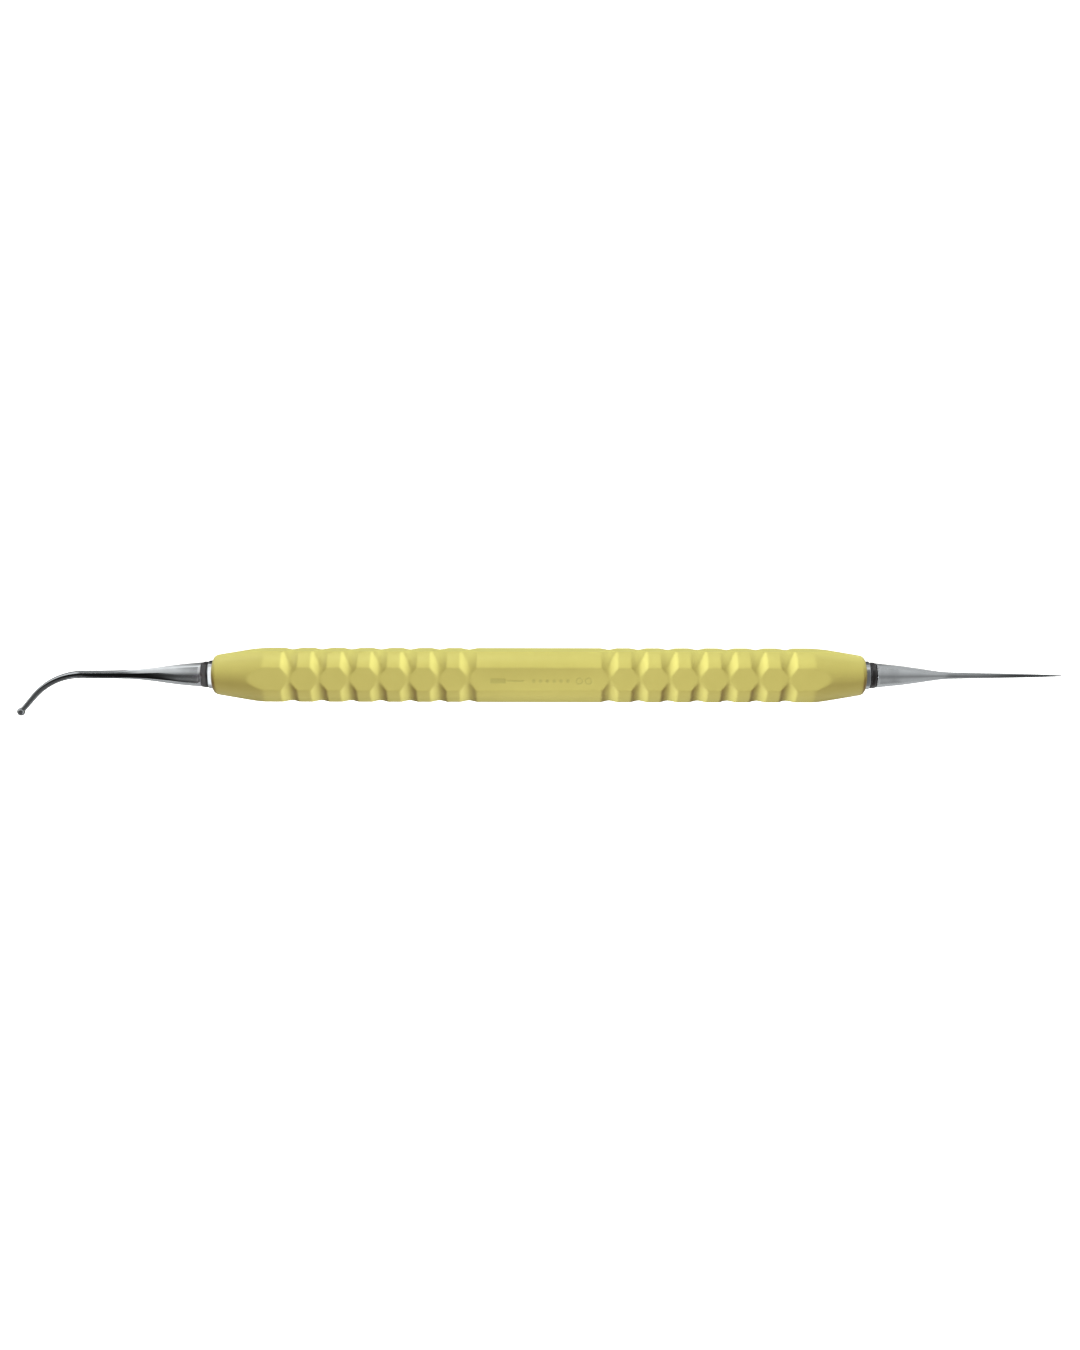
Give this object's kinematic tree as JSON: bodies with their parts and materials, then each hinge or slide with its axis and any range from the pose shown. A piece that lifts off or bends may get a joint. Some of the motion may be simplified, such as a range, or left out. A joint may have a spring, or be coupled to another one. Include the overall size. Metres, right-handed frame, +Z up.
{
  "type": "dental explorer",
  "caption": "Double-ended dental hand instrument: flat-sided ribbed polymer handle, with a steel needle point at one end and a small bent ball tip at the other.",
  "frame": {"origin": "centre of the flat that the handle rests on, under the middle of its length", "axes": "+X along the instrument towards the needle point, +Z up out of the resting flat; the ball end bends towards -Y"},
  "size_m": [0.178, 0.0115, 0.0087],
  "materials": {
    "grip_polymer": "moulded satin, fine texture",
    "polished_steel": "polished stainless steel",
    "tube_steel": "drawn stainless tube",
    "seal_rubber": "smooth black"
  },
  "bodies": {
    "root": {"grip": "grip_polymer", "core_tube": "tube_steel", "needle_end_insert": "polished_steel", "ball_end_insert": "polished_steel", "needle_end_bore_ring": "seal_rubber", "ball_end_bore_ring": "seal_rubber", "needle_end_seal_ring": "seal_rubber", "ball_end_seal_ring": "seal_rubber", "needle_end_tip": "polished_steel", "ball_end_tip": "polished_steel"}
  },
  "joints": []
}
